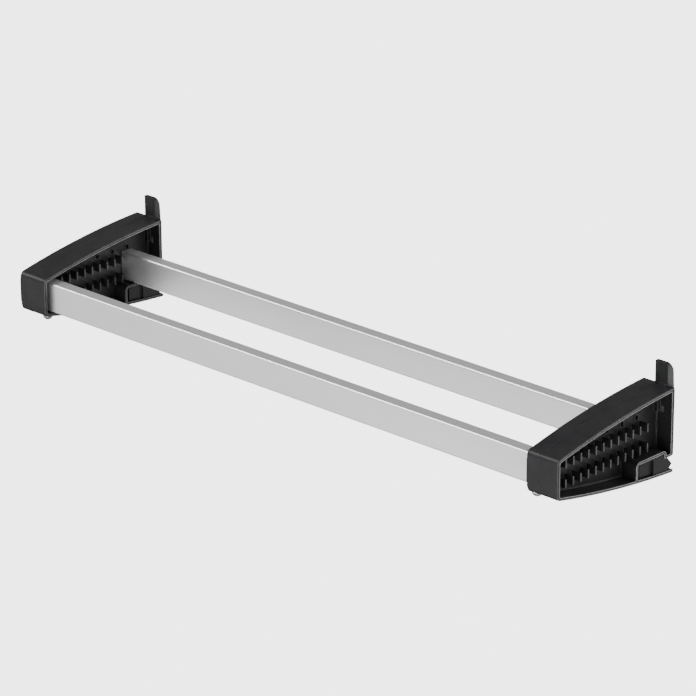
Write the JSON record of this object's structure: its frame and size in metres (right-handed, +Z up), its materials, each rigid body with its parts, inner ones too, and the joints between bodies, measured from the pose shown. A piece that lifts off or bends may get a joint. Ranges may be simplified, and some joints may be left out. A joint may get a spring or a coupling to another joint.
{
  "type": "pull-out trouser rack",
  "caption": "Trouser rack for a wardrobe: flat aluminium rails plugged between wedge-shaped black end brackets with hooks and sliding latches at the back.",
  "frame": {"origin": "midway between the two brackets, in the plane of their back faces, at the height of the rails' centre line", "axes": "+X along the rails, +Y from the front of the brackets to the back where the rack is hooked on, +Z up"},
  "size_m": [0.702, 0.16, 0.1051],
  "materials": {
    "rail_aluminium": "satin anodised",
    "bracket_plastic": "fine spark-eroded texture",
    "latch_plastic": "fine texture",
    "screw_steel": "black",
    "clear_bumper": "clear, soft"
  },
  "bodies": {
    "rack": {"front_rail": "rail_aluminium", "rear_rail": "rail_aluminium", "right_bracket_hook_half": "bracket_plastic", "right_bracket_cover_half": "bracket_plastic", "right_joining_screws": "screw_steel", "right_bumper": "clear_bumper", "left_bracket_hook_half": "bracket_plastic", "left_bracket_cover_half": "bracket_plastic", "left_joining_screws": "screw_steel", "left_bumper": "clear_bumper"},
    "right_catch": {"right_latch": "latch_plastic"},
    "left_catch": {"left_latch": "latch_plastic"}
  },
  "joints": [
    {"name": "right_latch_slide", "type": "slide", "parent": "rack", "child": "right_catch", "axis": [0, -1, 0], "range_m": [0, 0.004]},
    {"name": "left_latch_slide", "type": "slide", "parent": "rack", "child": "left_catch", "axis": [0, -1, 0], "range_m": [0, 0.004]}
  ]
}
